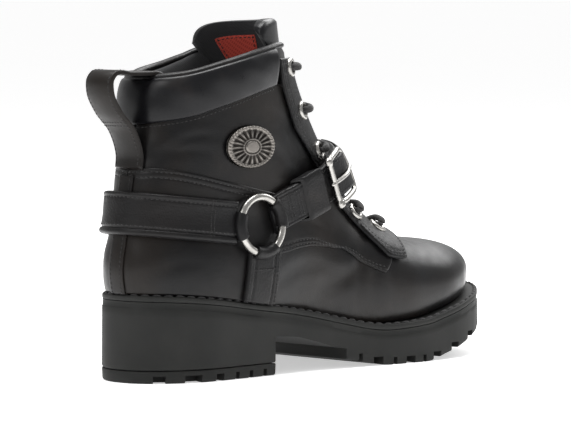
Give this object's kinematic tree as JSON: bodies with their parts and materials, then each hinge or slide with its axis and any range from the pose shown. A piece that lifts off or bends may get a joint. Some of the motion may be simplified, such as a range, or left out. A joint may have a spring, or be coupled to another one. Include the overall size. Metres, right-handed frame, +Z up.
{
  "type": "harness boot",
  "caption": "Ankle-high black leather lace-up harness boot with a stacked lug sole, side rings, buckled instep strap, heel strap, padded collar and rear pull loop.",
  "frame": {"origin": "middle of the heel's bottom face, on the floor", "axes": "+X towards the toe, +Z up, -Y is the outer side of the foot"},
  "size_m": [0.2912, 0.0968, 0.1872],
  "materials": {
    "upper_leather": "smooth black waxed leather",
    "strap_leather": "pebbled black leather",
    "lining": "black woven lining",
    "sole_rubber": "matte dark grey rubber",
    "nickel": "polished nickel",
    "lace_cord": "black round braided cord"
  },
  "bodies": {
    "root": {"outsole": "sole_rubber", "heel_lift": "sole_rubber", "welt": "sole_rubber", "upper": "upper_leather", "tongue": "upper_leather", "collar_pad": "upper_leather", "eyestay_outer": "upper_leather", "eyestay_inner": "upper_leather", "back_stay": "upper_leather", "pull_loop": "upper_leather", "insole": "lining", "heel_strap": "strap_leather", "instep_strap": "strap_leather", "foot_strap_outer": "strap_leather", "foot_strap_inner": "strap_leather", "strap_keeper": "strap_leather", "ring_outer": "nickel", "ring_inner": "nickel", "buckle": "nickel", "concho": "nickel", "eyelet_outer_1": "nickel", "eyelet_outer_2": "nickel", "eyelet_outer_3": "nickel", "eyelet_outer_4": "nickel", "eyelet_outer_5": "nickel", "eyelet_outer_6": "nickel", "eyelet_inner_1": "nickel", "eyelet_inner_2": "nickel", "eyelet_inner_3": "nickel", "eyelet_inner_4": "nickel", "eyelet_inner_5": "nickel", "eyelet_inner_6": "nickel", "lace_bar": "lace_cord", "lace_crossing_1": "lace_cord", "lace_crossing_2": "lace_cord", "lace_crossing_3": "lace_cord", "lace_crossing_4": "lace_cord", "lace_crossing_5": "lace_cord"}
  },
  "joints": []
}
